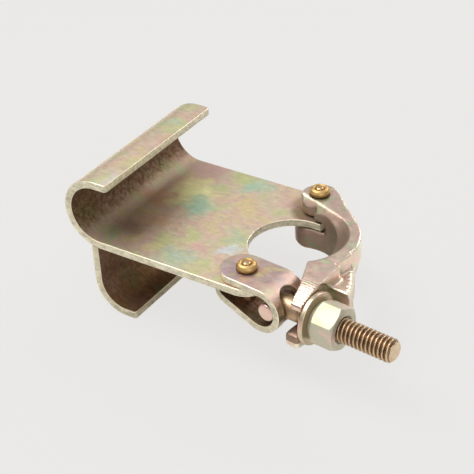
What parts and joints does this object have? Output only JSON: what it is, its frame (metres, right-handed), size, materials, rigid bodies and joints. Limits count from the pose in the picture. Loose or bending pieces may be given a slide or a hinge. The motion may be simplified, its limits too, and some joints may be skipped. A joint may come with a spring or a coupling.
{
  "type": "scaffold board retaining coupler",
  "caption": "Pressed steel coupler with upper and lower board hooks, and a hinged forged cap with a swing bolt that clamps it on a scaffold tube.",
  "frame": {"origin": "centre of the clamped tube at the middle of the plate's thickness", "axes": "+Z along the tube, +X from the hooks towards the bolt's end, +Y from the link's rivet towards the cap's rivet"},
  "size_m": [0.2083, 0.1109, 0.0865],
  "materials": {
    "plate_zinc": "yellow-passivated zinc on pressed sheet, iridescent",
    "weld": "zinc-plated weld bead",
    "forging": "yellow-passivated zinc on a forging",
    "strap_zinc": "yellow-passivated zinc on folded strap",
    "bolt_steel": "copper-tinted passivated thread",
    "washer_steel": "passivated zinc",
    "nut_zinc": "pale green and pink passivated zinc",
    "rivet_brassy": "golden passivated zinc"
  },
  "bodies": {
    "plate": {"board_plate": "plate_zinc", "lower_hook": "plate_zinc", "weld_beads": "weld"},
    "cap": {"cap": "forging", "cap_rivet": "rivet_brassy", "cap_rivet_washer": "rivet_brassy"},
    "link": {"link_strap": "strap_zinc", "link_rivet": "rivet_brassy", "link_rivet_washer": "rivet_brassy"},
    "bolt": {"t_bolt": "bolt_steel"},
    "washer": {"nut_washer": "washer_steel"},
    "nut": {"hex_nut": "nut_zinc"}
  },
  "joints": [
    {"name": "cap_hinge", "type": "hinge", "parent": "plate", "child": "cap", "pos_m": [-0.004, 0.039, 0], "axis": [0, 0, 1], "range_deg": [-1.5, 18.9]},
    {"name": "link_swing", "type": "hinge", "parent": "plate", "child": "link", "pos_m": [-0.005, -0.0375, 0], "axis": [0, 0, 1], "range_deg": [-90, 0]},
    {"name": "bolt_tilt", "type": "hinge", "parent": "link", "child": "bolt", "pos_m": [0.01605, -0.03953, -0.007], "axis": [0.0958, 0.9954, 0], "range_deg": [-1, 1]},
    {"name": "nut_travel", "type": "slide", "parent": "bolt", "child": "washer", "axis": [0.9954, -0.0958, 0], "range_m": [-0.0023, 0.0291]},
    {"name": "nut_spin", "type": "hinge", "parent": "washer", "child": "nut", "pos_m": [0.0388, -0.04172, -0.007], "axis": [0.9954, -0.0958, 0], "range_deg": [-330, 4176]}
  ],
  "couplings": [
    {"joint": "nut_travel", "follows": "nut_spin", "m_per_rad": 0.00039789},
    {"joint": "cap_hinge", "follows": "nut_spin", "ratio": 0.0045214}
  ]
}
